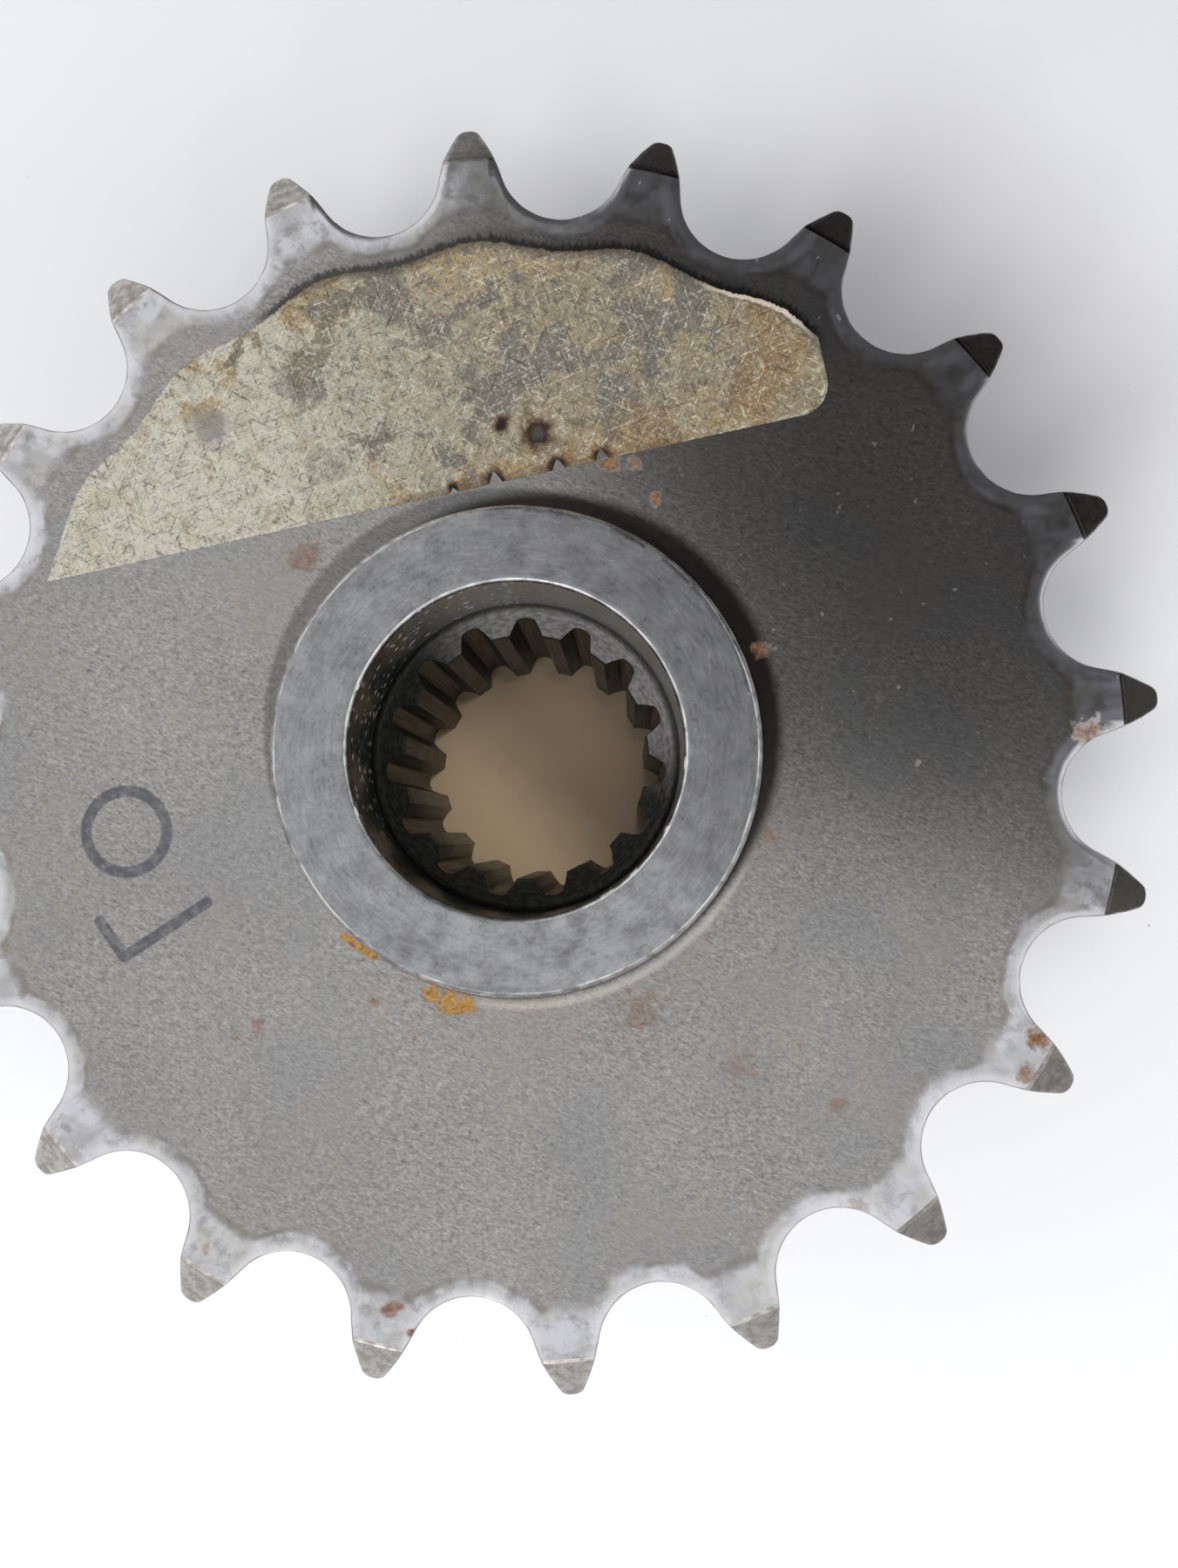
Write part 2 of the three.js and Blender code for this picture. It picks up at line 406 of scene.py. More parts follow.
# Rust along tooth edges: the bearing in degrees, the radius it is centred on, its size and strength.
RUST_ON_TEETH = [
    (-3.1, 114.5, 3.0, 0.8), (-33.5, 118.0, 2.6, 0.9), (-37.0, 119.6, 2.0, 0.8),
    (-58.1, 113.3, 2.0, 0.5), (-107.5, 113.6, 2.0, 0.8), (-105.0, 117.6, 1.0, 1.0),
    (-126.7, 118.0, 1.4, 0.5),
]
# Painted shadows that the boss casts on the face beside it: the bearing in degrees, its width, softness and
# strength.
BOSS_SHADOWS = [(36, 5.6, 1.5, 0.88), (115, 5.4, 0.7, 0.42)]
# An inspector's mark in blue-grey marker ink: a ring with a tick under it.
INK_WIDTH = 2.3
INK_RING = (-80.3, -9.4, 8.2)
INK_TICK = [((-87.0, -27.0), (-82.6, -34.5)), ((-82.6, -34.5), (-65.0, -25.0))]


def plate_face_material():
    """Ground and lightly oxidised steel, with a smoother heat tint where the teeth were hardened."""
    p = Paint("plate_face")
    grain = p.noise(0.46, detail=1.5, place=p.along(-30 * DEG, 1.9))
    coarse = p.swing(p.noise(1.8, detail=3), 0.40)
    streaks = p.noise(0.7, detail=3, place=p.along(-22 * DEG, 2.6), distortion=0.5)
    clouds = p.swing(p.noise(26.0, detail=3), 0.25)
    tone = p.add(p.swing(grain, 0.85), coarse, p.swing(streaks, 0.70), clouds, 0.5)
    steel = p.layers(
        p.mix(tone, (0.10, 0.095, 0.088), (0.555, 0.54, 0.512)),
        (p.blotches(31.0, 0.42, 0.62, 0.35, detail=2), (0.27, 0.275, 0.29)),
        (p.blotches(22.0, 0.50, 0.66, 0.30, roughness=0.6), (0.36, 0.315, 0.26)),
        # Small bright dents and dark pits.
        (p.times(p.specks(3.4, 0.4, 0.025), 0.5), (0.75, 0.75, 0.75)),
        (p.times(p.specks(2.6, 0.36, 0.08), 0.5), (0.035, 0.03, 0.028)),
    )

    # The heat tint follows the tooth spaces and covers the teeth.
    wander = p.swing(p.noise(5.0, detail=4), 3.2)
    from_root = p.from_root()
    past_root = p.add(from_root, wander)
    root = p.fade(past_root, 5.0, 2.2)
    tooth = p.fade(p.add(p.radius, wander), 108.5, 113.5)
    hardened = p.most(root, tooth)
    radial = p.noise(0.9, detail=3, place=p.combine(p.times(p.angle, 75.0), p.times(p.radius, 0.15), 0.0))
    smoky = p.fade(p.noise(7.0, detail=4, distortion=0.6), 0.36, 0.62)
    # Painted shade: the teeth on the +X side are made darker and browner, with a painted bluish highlight near
    # the roots.
    shaded_side = p.facing(32, 0.45, 0.85)
    painted_sheen = p.times(p.band(past_root, 2.2, 4.4, 0.8), p.blotches(10.0, 0.45, 0.6, detail=3), shaded_side)
    tint = p.layers(
        p.mix(smoky, (0.47, 0.47, 0.47), (0.67, 0.67, 0.70)),
        (p.fade(radial, 0.42, 0.75, high=0.35), (0.36, 0.35, 0.36)),
        (p.blotches(3.2, 0.48, 0.66, 0.6, detail=5, roughness=0.6), (0.21, 0.205, 0.20)),
        (p.blotches(11.0, 0.50, 0.62, 0.45, detail=3), (0.50, 0.49, 0.41)),
        (p.fade(p.add(from_root, p.times(wander, 0.4)), 2.6, 0.6, high=0.6), (0.82, 0.81, 0.84)),
        # Painted highlight: the teeth towards +X -Y are made paler.
        (p.facing(-55, 0.82, 0.98, high=0.2), (0.84, 0.84, 0.88)),
        # Painted shade on the +X side, then the painted bluish highlight there.
        (p.times(shaded_side, 0.12), (0.27, 0.235, 0.235)),
        (p.times(painted_sheen, 0.75), (0.86, 0.86, 0.97)),
    )
    # A brown oxide line where the tint ends.
    oxide = p.times(p.fade(hardened, 0.0, 0.3), p.fade(hardened, 0.9, 0.45))
    oxide = p.times(oxide, p.fade(p.noise(6.0, detail=3), 0.38, 0.6, 0.10, 0.55))

    # Oil drawn out of the label along its rim.
    past_rim = p.past_label_rim()
    near_rim = p.fade(past_rim, -2.2, -1.0)
    hair_place = p.combine(p.times(p.angle, 100.0), p.times(p.radius, 0.3), 0.0)
    hair = p.swing(p.noise(0.8, detail=4, roughness=0.7, place=hair_place), 4.5)
    fringe = p.times(p.sector(49, 116, 2), p.fade(p.add(past_rim, hair), 1.9, 0.7), near_rim)
    smear = p.times(p.sector(54, 112, 6), p.fade(p.add(past_rim, wander), 4.5, 1.0))

    # Painted shadows cast by the boss on the face beside it, and on its other side a painted pale band of light
    # thrown off the boss.
    pale = p.times(p.sector(-105, -28, 16), p.band(p.radius, 50.4, 51.8, 0.6))
    boss_shadows = []
    for bearing, width, soft, share in BOSS_SHADOWS:
        away = p.away_from(polar(width, bearing * DEG))
        shade = p.fade(away, BOSS_RADIUS + soft, BOSS_RADIUS - soft)
        boss_shadows.append((p.times(shade, share), (0.012, 0.009, 0.007)))

    x, y, radius = INK_RING
    ring = p.band(p.away_from((x, y, 0)), radius - INK_WIDTH / 2, radius + INK_WIDTH / 2, 0.25)
    ink = p.most(ring, *[p.stroke(start, end, INK_WIDTH) for start, end in INK_TICK])
    ink = p.times(ink, p.fade(p.noise(2.0, detail=4), 0.3, 0.6, 0.45, 0.78))
    colour = p.layers(
        steel,
        (p.times(hardened, 0.9), tint),
        (oxide, (0.18, 0.155, 0.12)),
        (p.times(fringe, 0.85), (0.03, 0.028, 0.025)),
        (p.times(smear, near_rim, 0.35), (0.08, 0.075, 0.07)),
        # Painted highlight: the pale band of light thrown off the boss onto the face.
        (p.times(pale, 0.35), (0.80, 0.77, 0.64)),
        # Painted shadows of the boss.
        *boss_shadows,
        # Painted contact shade in the seam round the boss.
        (p.fade(p.radius, BOSS_RADIUS + 1.3, BOSS_RADIUS + 0.6, high=0.6), (0.03, 0.027, 0.025)),
        (ink, (0.075, 0.08, 0.105)),
    )

    ragged = p.swing(p.noise(2.4, detail=4), 3.0)
    patches = [p.times(p.spot((x, y, 0), size, ragged), share) for x, y, size, share in RUST_PATCHES]
    for bearing, radius, size, share in RUST_ON_TEETH:
        patches.append(p.times(p.spot(polar(radius, bearing * DEG), size, ragged), share))
    patches.append(p.times(p.blotches(2.6, 0.68, 0.76, detail=3), 0.35))
    rust = p.times(p.most(*patches), p.fade(p.noise(1.8, detail=3), 0.3, 0.6, 0.7, 1.1))
    soft = p.swing(p.noise(2.6, detail=5, roughness=0.65, distortion=0.8), 2.0)
    yellow = [p.times(p.spot((x, y, 0), size, soft), share) for x, y, size, share in AMBER_PATCHES]
    amber = p.most(p.stroke(*AMBER_STREAK, 1.5), *yellow)
    amber = p.times(amber, p.fade(p.noise(0.7, detail=4, distortion=1.5), 0.3, 0.5, 0.5, 1.0))
    rough = p.blend(hardened, 0.24, 0.22)
    return rusty(p, colour, rough, 0.94, p.bump(grain, 0.02, strength=0.12), p.most(rust, amber), amber)


def tip_cone_material():
    """The turned relief on the tooth tips: darker, khaki grey, with fine concentric tool marks and painted
    shade on the +X side.
    """
    p = Paint("tip_relief", Metallic=1.0)
    lines = p.noise(0.35, place=p.combine(p.radius, p.times(p.angle, 2.0), 0.0))
    stain = p.noise(2.0, detail=5, roughness=0.6)
    # Painted shade on the tips on the +X side.
    dark = p.most(p.times(p.facing(27, 0.28, 0.78), 0.95), p.times(p.facing(-45, 0.85, 0.98), 0.45))
    colour = p.layers(
        p.mix(p.fade(stain, 0.38, 0.62), (0.76, 0.72, 0.655), (0.42, 0.388, 0.342)),
        (p.fade(lines, 0.3, 0.7, high=0.25), (0.60, 0.585, 0.56)),
        (dark, (0.040, 0.038, 0.031)),
    )
    return p.finish(colour, p.fade(stain, 0.3, 0.7, 0.24, 0.36), p.bump(lines, 0.03, strength=0.5))


def tooth_flank_material():
    """Hobbed and induction hardened tooth spaces: bluish, smooth, with faint axial feed marks."""
    p = Paint("tooth_flank")
    feed = p.noise(0.8, place=p.vector("MULTIPLY", p.place, (0.15, 0.15, 1.0)))
    stain = p.noise(3.5, detail=5, roughness=0.6)
    colour = p.mix(p.fade(stain, 0.35, 0.68), (0.30, 0.295, 0.30), (0.43, 0.425, 0.45))
    rust = p.times(p.blotches(5.0, 0.64, 0.74, detail=5, roughness=0.6), 0.7)
    return rusty(p, colour, p.fade(stain, 0.3, 0.7, 0.30, 0.44), 0.95, p.bump(feed, 0.04, strength=0.6), rust)


def turned_face_material(name, tone):
    """Fine turned steel, dulled by handling: streaks that run round the axis under cloudy smears, with painted
    light in patches on the -Y side and painted shade on the +X side.
    """

    def toned(share):
        return tuple(share * c for c in tone)

    p = Paint(name, Metallic=0.95)
    round_axis = p.combine(p.radius, p.times(p.angle, 9.0), p.z)
    streaks = p.noise(0.8, place=round_axis, detail=4, roughness=0.6)
    fine = p.noise(0.35, place=round_axis)
    clouds = p.noise(5.5, detail=5, roughness=0.62)
    mixed = p.add(p.swing(streaks, 1.1), p.swing(clouds, 1.3), p.swing(p.noise(0.6, detail=3), 0.5), 0.5)
    # Painted light in cloudy patches on the -Y side.
    lit_patches = p.times(p.facing(-80, 0.5, 1.0, high=0.15), p.fade(clouds, 0.35, 0.6))
    arcs = p.times(p.threads(2.6, 0.010, round_axis), p.fade(clouds, 0.5, 0.62))
    colour = p.layers(
        p.mix(mixed, toned(0.42), toned(1.25)),
        (lit_patches, toned(1.9)),
        # Painted shade on the +X side.
        (p.facing(20, 0.2, 1.0, high=0.4), toned(0.55)),
        (p.blotches(1.6, 0.60, 0.72, 0.5, detail=5, roughness=0.65), (0.10, 0.10, 0.11)),
        (p.times(arcs, 0.5), (0.55, 0.55, 0.58)),
    )
    relief = p.bump(p.add(streaks, p.times(fine, 0.6)), 0.02, strength=0.5)
    return p.finish(colour, p.fade(streaks, 0.3, 0.7, 0.36, 0.50), relief)


def edge_material():
    """Chamfers worn bright."""
    p = Paint("bright_edge", Metallic=1.0)
    wear = p.noise(3.0, detail=4)
    colour = p.mix(p.fade(wear, 0.35, 0.6), (0.50, 0.50, 0.50), (0.92, 0.91, 0.89))
    return p.finish(colour, p.fade(wear, 0.3, 0.7, 0.24, 0.34), p.bump(wear, 0.03, strength=0.3))


def oiled_bore_material():
    """The counterbore wall: black with oil, which has run into beads, with painted white glint specks on the -X
    +Y side and painted light on the +X +Y side.
    """
    p = Paint("oiled_bore", Metallic=0.6)
    cover = p.noise(3.0, detail=5, roughness=0.6)
    # Painted highlights: white glint specks on the -X +Y side.
    painted_glints = p.times(p.specks(2.0, 0.95, 0.9), p.facing(145, 0.3, 0.8))
    colour = p.layers(
        p.mix(p.fade(cover, 0.35, 0.65), (0.016, 0.018, 0.014), (0.085, 0.089, 0.073)),
        # Painted light on the wall on the +X +Y side.
        (p.times(p.facing(48, -0.1, 0.65), 0.75), (0.33, 0.33, 0.31)),
        (painted_glints, (0.95, 0.97, 0.93)),
    )
    away, _ = p.cells(2.2, p.vector("MULTIPLY", p.place, (1.0, 1.0, 0.45)))
    relief = p.add(cover, p.times(p.fade(away, 0.30, 0.0), 0.8))
    return p.finish(colour, p.fade(cover, 0.3, 0.7, 0.25, 0.42), p.bump(relief, 0.25, strength=0.7))


def broached_material():
    """The spline: smoky steel with straight broach marks along it, darker towards the counterbore, with painted
    shade in the grooves and on the +Y side and painted light on the -X -Y side.
    """
    p = Paint("broached_spline", Metallic=0.3, Specular_IOR_Level=0.3)
    marks_place = p.combine(p.times(p.angle, 60.0), p.times(p.radius, 2.2), p.times(p.z, 0.03))
    marks = p.noise(0.9, place=marks_place, detail=4, roughness=0.65)
    cover = p.noise(5.0, detail=4)
    # Painted light on the -X -Y side, streaked by the broach marks.
    lit_side = p.times(p.facing(-135, 0.55, 0.95), p.fade(marks, 0.4, 0.6, 0.2, 0.9))
    mouth = p.fade(p.add(p.z, p.times(cover, 16.0)), 40.0, 72.0, high=0.85)
    colour = p.layers(
        p.mix(p.fade(marks, 0.36, 0.62), (0.040, 0.042, 0.038), (0.20, 0.205, 0.185)),
        (p.fade(cover, 0.38, 0.60, high=0.75), (0.030, 0.029, 0.022)),
        (lit_side, (0.45, 0.44, 0.40)),
        # Painted shade on the +Y side.
        (p.facing(85, -0.1, 0.7, high=0.6), (0.035, 0.036, 0.031)),
        (mouth, (0.020, 0.020, 0.015)),
        # Painted shade deep in the grooves between the lands.
        (p.fade(p.radius, 26.9, 29.6, high=0.85), (0.018, 0.017, 0.013)),
    )
    return p.finish(colour, p.fade(marks, 0.3, 0.7, 0.35, 0.55), p.bump(marks, 0.05, strength=0.6))


def bore_floor_material():
    """The counterbore's floor: rough turned steel, pitted and flecked, with painted shade on all but its +X +Y
    side and in the corner round its rim.
    """
    p = Paint("counterbore_floor", Metallic=0.8)
    turned = p.noise(0.7, place=p.combine(p.radius, p.times(p.angle, 12.0), 0.0), detail=4)
    flecks = p.noise(0.5, detail=4, roughness=0.7)
    tracks = p.fade(turned, 0.3, 0.7)
    # Painted shade: the dark floor, used on all but the +X +Y side.
    shaded_floor = p.mix(tracks, (0.012, 0.012, 0.010), (0.035, 0.034, 0.030))
    # Painted shade in the corner where the floor meets the wall.
    foot = p.fade(p.radius, COUNTERBORE_RADIUS - FLOOR_ROUND, COUNTERBORE_RADIUS - 1.0, high=0.7)
    lit_floor = p.layers(
        p.mix(tracks, (0.16, 0.155, 0.15), (0.33, 0.32, 0.32)),
        (foot, (0.06, 0.06, 0.055)),
        (p.fade(flecks, 0.58, 0.70, high=0.5), (0.55, 0.54, 0.52)),
    )
    # Painted shade everywhere but the +X +Y side, where the floor is lit.
    colour = p.mix(p.facing(55, 0.15, 0.8), shaded_floor, lit_floor)
    relief = p.bump(p.add(turned, flecks), 0.08, strength=0.7)
    return p.finish(colour, p.fade(flecks, 0.3, 0.7, 0.38, 0.58), relief)


def weld_material():
    """Weld metal with a little heat tint and rust."""
    p = Paint("weld_metal")
    scale = p.noise(1.2, detail=4)
    colour = p.layers(
        p.mix(p.fade(scale, 0.35, 0.65), (0.12, 0.11, 0.10), (0.36, 0.34, 0.33)),
        (p.blotches(8.0, 0.4, 0.6, 0.4, detail=2), (0.20, 0.17, 0.22)),
    )
    rust = p.times(p.blotches(3.2, 0.6, 0.7), 0.8)
    return rusty(p, colour, p.fade(scale, 0.3, 0.7, 0.35, 0.55), 0.9, p.bump(scale, 0.08, strength=0.5), rust)


# Two scorched spots in the label, in the frame of its straight edge: place and radius.
BURNS = [(10.6, 65.7, 1.5), (17.5, 62.3, 2.9)]
# Small tears in the straight edge: how far along it, how wide and how deep.
TEARS = [(-1.6, 1.4, 1.0), (7.1, 2.6, 2.6), (20.2, 2.6, 2.2), (29.2, 2.6, 2.5)]
# Where oil and age have changed the paper, in the same frame: place, radius and strength.
GOLDEN = [
    (-20.0, 97.5, 8.0, 1.0), (-50.7, 87.4, 6.0, 0.8), (-12.0, 55.5, 6.5, 0.75),
    (9.5, 55.5, 8.0, 0.9), (8.0, 98.0, 9.0, 0.8), (26.0, 96.0, 9.0, 0.6),
    (31.5, 57.0, 8.5, 0.8), (49.0, 56.5, 9.0, 0.7), (52.0, 84.0, 10.0, 0.5),
]
SMOKY = [
    (17.0, 74.5, 13.0, 0.9), (4.4, 82.0, 10.0, 0.75), (-16.0, 86.0, 9.0, 0.8),
    (-8.5, 95.0, 6.0, 0.9), (-29.0, 84.0, 6.0, 0.5), (36.0, 75.0, 13.0, 0.95),
    (-5.0, 71.0, 5.0, 0.25), (-18.0, 77.7, 5.0, 0.4), (-27.0, 66.0, 5.0, 0.4),
    (24.0, 90.0, 5.0, 0.35),
]
BROWNED = [
    (24.0, 56.0, 5.0, 0.6), (40.0, 57.5, 5.0, 0.55), (63.5, 58.5, 5.0, 0.6),
    (69.5, 68.5, 6.0, 0.6), (66.0, 78.0, 5.0, 0.4), (-1.0, 55.0, 2.5, 0.5),
]
BALD_SPOT = (-47.7, 78.2, 4.0)


def in_part_frame(along, away):
    """A point given along the label's straight edge and away from the axis, in the part's frame."""
    return Vector((along, away, 0)) @ Euler((0, 0, -LABEL_SLOPE)).to_matrix()


def label_material():
    """Fibrous paper soaked with oil: pale at one end, golden at its rims, smoky in the middle and scorched."""
    p = Paint("label_paper", Roughness=0.95, Specular_IOR_Level=0.2)
    c, s = cos(LABEL_SLOPE), sin(LABEL_SLOPE)
    along = p.add(p.times(p.x, c), p.times(p.y, s))
    away = p.math("SUBTRACT", p.times(p.y, c), p.times(p.x, s))
    cloud = p.math("SUBTRACT", p.noise(9.0, detail=6, roughness=0.65), 0.5)

    def stain(patches):
        spots = []
        for x, y, size, share in patches:
            spots.append(p.times(p.spot(in_part_frame(x, y), size, p.times(cloud, 1.7 * size)), share))
        return p.most(*spots)

    fibres = p.noise(0.8, detail=4, roughness=0.75, distortion=1.4)
    strands = [p.noise(0.5, place=p.along(turn * DEG, 9.0), distortion=0.9) for turn in (18, 62, 105, 150)]
    hairs = p.most(*[p.fade(strand, 0.54, 0.74) for strand in strands])
    hollows = p.most(*[p.fade(strand, 0.43, 0.27) for strand in strands])
    lift = p.add(p.swing(fibres, 1.8), p.times(hairs, 0.45), p.times(hollows, -0.42), 0.40)

    # The bare patch, the oily rim, the torn lip and the browned edge.
    ragged = p.swing(p.noise(1.8, detail=3), 1.4)
    x, y, size = BALD_SPOT
    bald = p.spot(in_part_frame(x, y), size, ragged)
    past_rim = p.add(p.past_label_rim(), ragged)
    rim = p.times(p.fade(past_rim, -2.6, -0.4), p.sector(28, 112, 5))
    lip = p.times(p.fade(past_rim, -1.3, -0.7), p.sector(51, 63, 3))
    near_edge = p.times(p.fade(p.add(away, ragged), 56.2, 54.8), p.band(along, -12, 46, 5))
    scorches = []
    for x, y, size in [*BURNS, *((t, LABEL_CHORD + 0.8, w * 0.75) for t, w, _ in TEARS)]:
        centre = in_part_frame(x, y)
        scorches.append((p.times(p.spot(centre, size * 1.3, ragged), 0.75), (0.15, 0.075, 0.03)))
        scorches.append((p.spot(centre, size * 0.95, ragged), (0.028, 0.022, 0.018)))
    x, y, size = BURNS[1]
    ash = p.spot(in_part_frame(x, y), size * 0.5, ragged)
    browned_end = p.fade(p.add(along, p.times(cloud, 70.0)), -55, 40)
    paper = p.layers(
        p.mix(browned_end, (0.575, 0.555, 0.465), (0.305, 0.255, 0.17)),
        (p.blotches(5.0, 0.46, 0.64, 0.4, detail=5, roughness=0.6), (0.40, 0.33, 0.19)),
        (stain(GOLDEN), (0.41, 0.305, 0.145)),
        (stain(SMOKY), (0.195, 0.18, 0.155)),
        (stain(BROWNED), (0.30, 0.17, 0.06)),
        (p.blotches(2.6, 0.48, 0.70, 0.45, detail=5, roughness=0.7), (0.15, 0.135, 0.11)),
        (p.fade(lift, 0.42, 1.10, high=0.95), (0.71, 0.675, 0.56)),
        (p.fade(lift, 0.46, -0.25, high=0.9), (0.085, 0.075, 0.06)),
        (p.times(bald, 0.75), (0.26, 0.255, 0.245)),
        (p.times(rim, 0.65), (0.085, 0.07, 0.05)),
        (p.times(lip, p.fade(fibres, 0.3, 0.6, 0.6, 1.0)), (0.78, 0.68, 0.56)),
        (p.times(near_edge, 0.5), (0.12, 0.065, 0.025)),
        *scorches,
        (p.times(ash, 0.7), (0.10, 0.09, 0.075)),
    )
    p.set("Base Color", paper)
    p.set("Normal", p.bump(lift, 0.25, strength=0.8))
    return p.material


def floor_material():
    """A white table, with a painted shadow of the teeth on the +X +Y side, and where the hub stands a painted
    tan pool of light, brighter towards -X -Y, with dark specks in it.
    """
    p = Paint("pale_table")
    shade = p.noise(300.0)
    # Painted shadow of the teeth on the table beyond them, on the +X +Y side.
    cover = p.times(p.sector(20, 60, 9), p.fade(p.radius, 235, 165))
    crumbs = p.most(p.specks(17.0, 0.7, 0.22), p.specks(6.0, 0.35, 0.12))
    white = p.layers(
        p.mix(shade, (0.84, 0.84, 0.85), (0.88, 0.88, 0.885)),
        (p.times(cover, 0.6), (0.50, 0.49, 0.50)),
        (p.times(crumbs, 0.6), (0.42, 0.37, 0.32)),
    )
    # Painted light and shade under the hub: a tan pool, brighter towards -X -Y and darker towards +X +Y, with
    # dark specks.
    drift = p.add(p.times(p.x, 0.85), p.times(p.y, 0.53), p.swing(p.noise(9.0, detail=3), 6.0))
    oil = p.layers(
        p.mix(p.fade(drift, -19, 9), (0.88, 0.67, 0.44), (0.37, 0.28, 0.185)),
        (p.fade(drift, 6, 34), (0.23, 0.175, 0.118)),
        (p.times(p.specks(5.0, 0.4, 0.4), 0.7), (0.16, 0.12, 0.08)),
    )
    p.set("Base Color", p.mix(p.fade(p.radius, 47, 40), white, oil))
    p.set("Roughness", p.fade(shade, 0.3, 0.7, 0.5, 0.6))
    return p.material


# ---- Toothed plate ----

FACE_SLOT, RELIEF_SLOT, FLANK_SLOT = range(3)
CREASE_STEPS = (-0.6, -0.3, -0.12, 0.0, 0.12, 0.3, 0.6)
CROSS_STEPS = 8


def half_tooth_gap():
    """Points from the bottom of a roller seat to the middle of the next tip, with the gap's middle on +X.

    Returns them with the number of the first point of the tip relief and of the first point of the tip land.
    """
    seat_centre = Vector((PITCH_RADIUS, 0))
    seat_end = pi - SEAT_ANGLE / 2
    flank_centre = seat_centre + (SEAT_RADIUS + FLANK_RADIUS) * Vector((cos(seat_end), sin(seat_end)))
    reach = flank_centre.length
    bearing = atan2(flank_centre.y, flank_centre.x)

    def flank_angle(radius):
        inside = (FLANK_RADIUS**2 + reach**2 - radius**2) / (2 * FLANK_RADIUS * reach)
        return bearing - pi + acos(inside)

    def on(centre, radius, angle):
        return centre + radius * Vector((cos(angle), sin(angle)))

    to_flank = FLANK_RADIUS - TIP_CORNER
    to_axis = TIP_RADIUS - TIP_CORNER
    along = (to_axis**2 - to_flank**2 + reach**2) / (2 * reach)
    aside = sqrt(to_axis**2 - along**2)
    turn = (cos(bearing), sin(bearing))
    corner = Vector((along * turn[0] + aside * turn[1], along * turn[1] - aside * turn[0]))
    flank_end = atan2(corner.y - flank_centre.y, corner.x - flank_centre.x)
    corner_end = atan2(corner.y, corner.x)

    points = [on(seat_centre, SEAT_RADIUS, a) for a in steps(pi, seat_end, 20)]
    crease = [flank_angle(PITCH_RADIUS + d) for d in CREASE_STEPS]
    points += [on(flank_centre, FLANK_RADIUS, a) for a in steps(seat_end - pi, crease[0], 8)[1:]]
    relief_starts = len(points) - 1
    points += [on(flank_centre, FLANK_RADIUS, a) for a in crease[1:]]
    points += [on(flank_centre, FLANK_RADIUS, a) for a in steps(crease[-1], flank_end, 9)[1:]]
    points += [on(corner, TIP_CORNER, a) for a in steps(flank_end, corner_end, 8)[1:]]
    land_starts = len(points) - 1
    land = steps(corner_end, pi / TOOTH_COUNT, CROSS_STEPS // 2)[1:]
    points += [polar(TIP_RADIUS, a).xy for a in land]
    return points, relief_starts, land_starts


def face_fall(radius):
    """How far the tooth's face has dropped at this radius: none up to the pitch circle, then a cone."""
    past = radius - PITCH_RADIUS
    soft = (past + sqrt(past * past + 0.04)) / 2
    return TIP_FALL / (TIP_RADIUS - PITCH_RADIUS) * soft


def plate_outline():
    """The whole outline as a list of one list of points for each gap, from tip middle to tip middle."""
    half, relief, land = half_tooth_gap()
    mirrored = [Vector((v.x, -v.y)) for v in reversed(half[1:])]
    sector = mirrored + half
    gaps = []
    for i in range(TOOTH_COUNT):
        turn = (i + 0.5) * 2 * pi / TOOTH_COUNT
        c, s = cos(turn), sin(turn)
        gaps.append([Vector((v.x * c - v.y * s, v.x * s + v.y * c)) for v in sector])
    return gaps, len(half), relief, land


